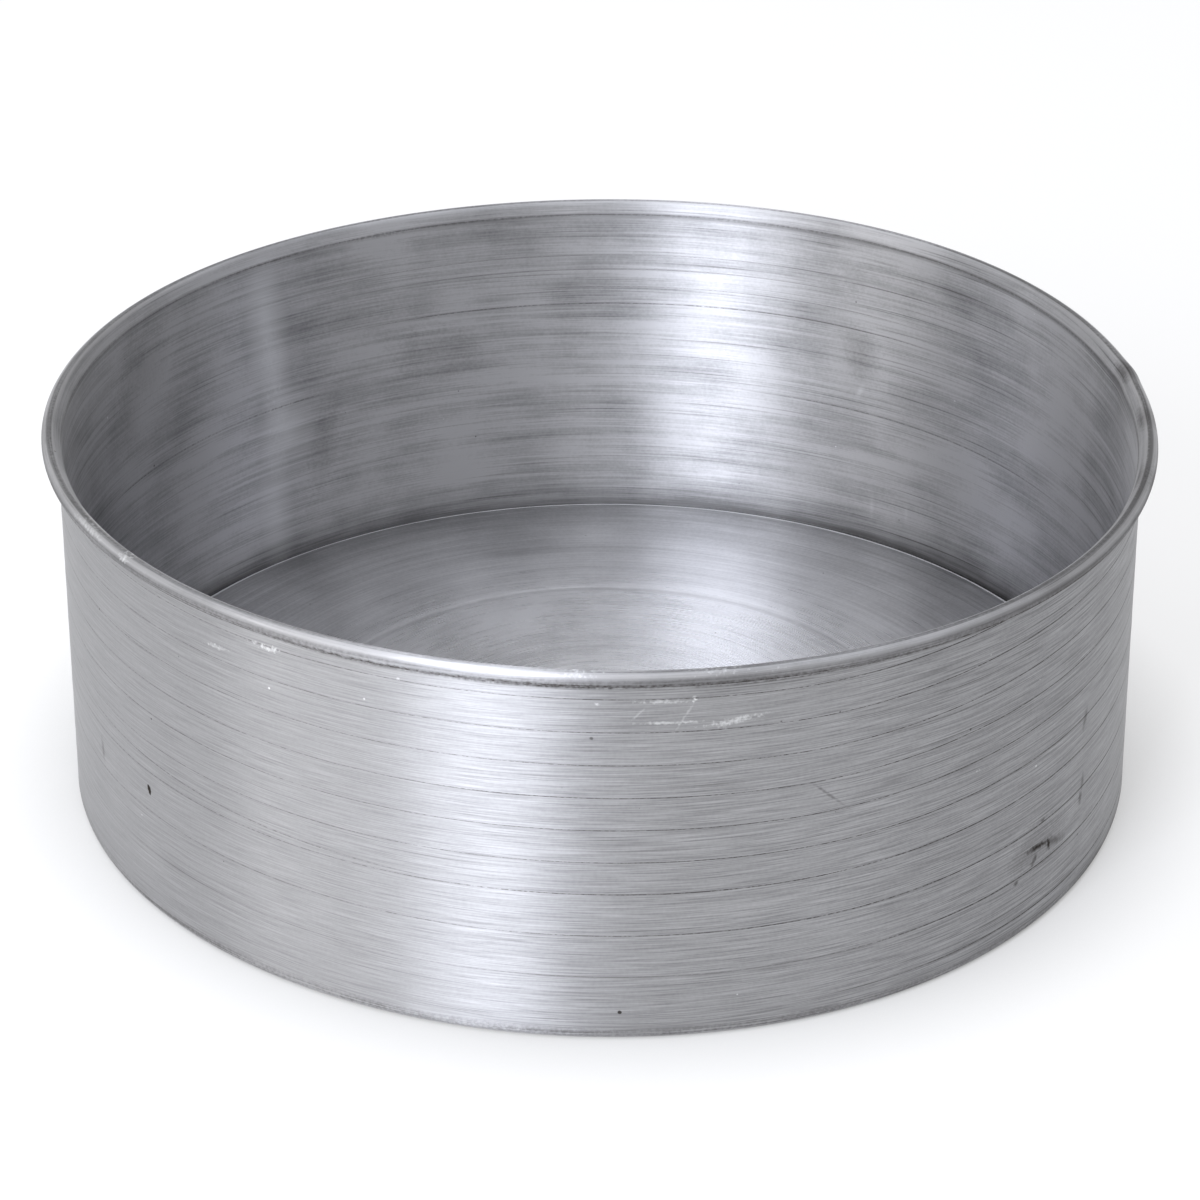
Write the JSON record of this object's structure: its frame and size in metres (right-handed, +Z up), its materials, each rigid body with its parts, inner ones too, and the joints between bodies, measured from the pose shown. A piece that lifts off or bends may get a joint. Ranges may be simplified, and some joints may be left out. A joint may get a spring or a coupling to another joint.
{
  "type": "round cake tin",
  "caption": "Deep round cake tin spun from aluminium sheet, with a straight wall, a wired rolled rim and a loose base that pushes up and lifts out.",
  "frame": {"origin": "centre of the face that the tin rests on", "axes": "+Z up along the tin's axis, +Y away from the picture's camera"},
  "size_m": [0.288, 0.288, 0.1015],
  "materials": {
    "spun_wall": "spun, with fine rings round the wall",
    "steel_wire": "drawn wire",
    "spun_base": "spun, with fine rings round the centre"
  },
  "bodies": {
    "tin": {"tin_wall": "spun_wall", "rim_wire": "steel_wire"},
    "base": {"loose_base": "spun_base"}
  },
  "joints": [
    {"name": "base_lift", "type": "slide", "parent": "tin", "child": "base", "axis": [0, 0, 1], "range_m": [0, 0.115]}
  ]
}
